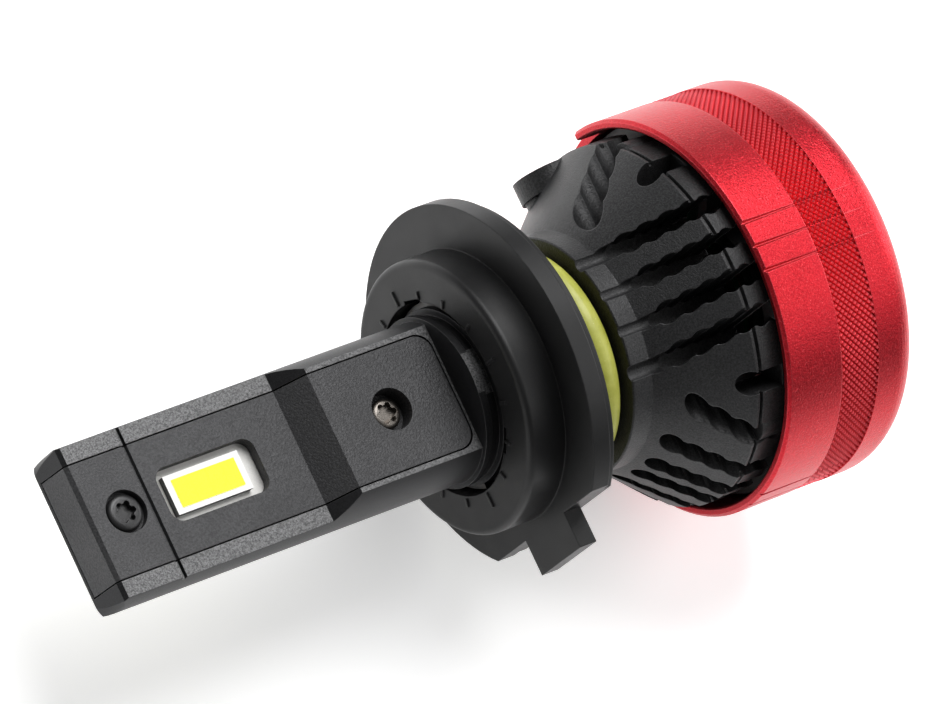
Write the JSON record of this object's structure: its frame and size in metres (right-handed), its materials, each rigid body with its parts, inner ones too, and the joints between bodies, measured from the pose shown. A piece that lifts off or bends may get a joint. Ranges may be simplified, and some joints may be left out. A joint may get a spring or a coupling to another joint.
{
  "type": "led headlight bulb",
  "caption": "Headlight bulb with a flat LED bar, a turning flanged collar, a slotted heat sink and a fan under a knurled round cover.",
  "frame": {"origin": "on the bulb's axis, in the front plane of the collar's flange, which is the reference plane of the bulb", "axes": "+X runs from the lit tip to the fan, +Z is the normal of the upper LED face, -Y points to the orientation tab"},
  "size_m": [0.0608, 0.0288, 0.0288],
  "materials": {
    "bar_aluminium": "sandblasted, anodised dark grey",
    "copper": "bare copper",
    "white_board": "white solder mask",
    "led_ceramic": "white ceramic",
    "phosphor": "yellow phosphor layer",
    "black_steel": "black zinc",
    "bright_steel": "bright zinc",
    "spring_steel": "plain",
    "black_plastic": "satin, fine grain",
    "green_rubber": "smooth",
    "black_aluminium": "fine-grained, anodised black",
    "black_rubber": "smooth",
    "lead_jacket": "smooth",
    "board_green": "solder mask",
    "ferrite": "matt",
    "capacitor_shell": "plain",
    "chip_resin": "moulded",
    "fan_plastic": "moulded",
    "lamination": "stamped",
    "bronze": "sintered",
    "magnet": "moulded",
    "red_aluminium": "satin, anodised red"
  },
  "bodies": {
    "collar": {"mounting_collar": "black_plastic"},
    "bulb": {"bar_frame": "bar_aluminium", "bar_cover_front": "bar_aluminium", "bar_cover_back": "bar_aluminium", "copper_core": "copper", "led_board_front": "white_board", "led_board_back": "white_board", "led_package_front": "led_ceramic", "led_package_back": "led_ceramic", "phosphor_front": "phosphor", "phosphor_back": "phosphor", "tip_screws": "black_steel", "rear_screws": "bright_steel", "collar_snap_ring": "spring_steel", "collar_o_ring": "green_rubber", "heat_sink": "black_aluminium", "cable_gland": "black_rubber", "led_leads": "lead_jacket", "driver_board": "board_green", "driver_inductor": "ferrite", "driver_capacitors": "capacitor_shell", "driver_chips": "chip_resin", "fan_frame": "fan_plastic", "fan_circuit_board": "board_green", "stator_core": "lamination", "stator_coils": "copper", "bearing_sleeve": "bronze", "inlet_grille": "fan_plastic", "fan_cover": "red_aluminium", "cover_screws": "black_steel"},
    "fan_rotor": {"fan_rotor": "fan_plastic", "rotor_magnet": "magnet", "fan_shaft": "bright_steel", "shaft_clip": "spring_steel"}
  },
  "joints": [
    {"name": "collar_turn", "type": "hinge", "parent": "collar", "child": "bulb", "pos_m": [0, 0, 0], "axis": [1, 0, 0], "continuous": true},
    {"name": "fan_spin", "type": "hinge", "parent": "bulb", "child": "fan_rotor", "pos_m": [0.0225, 0, 0], "axis": [1, 0, 0], "continuous": true}
  ]
}
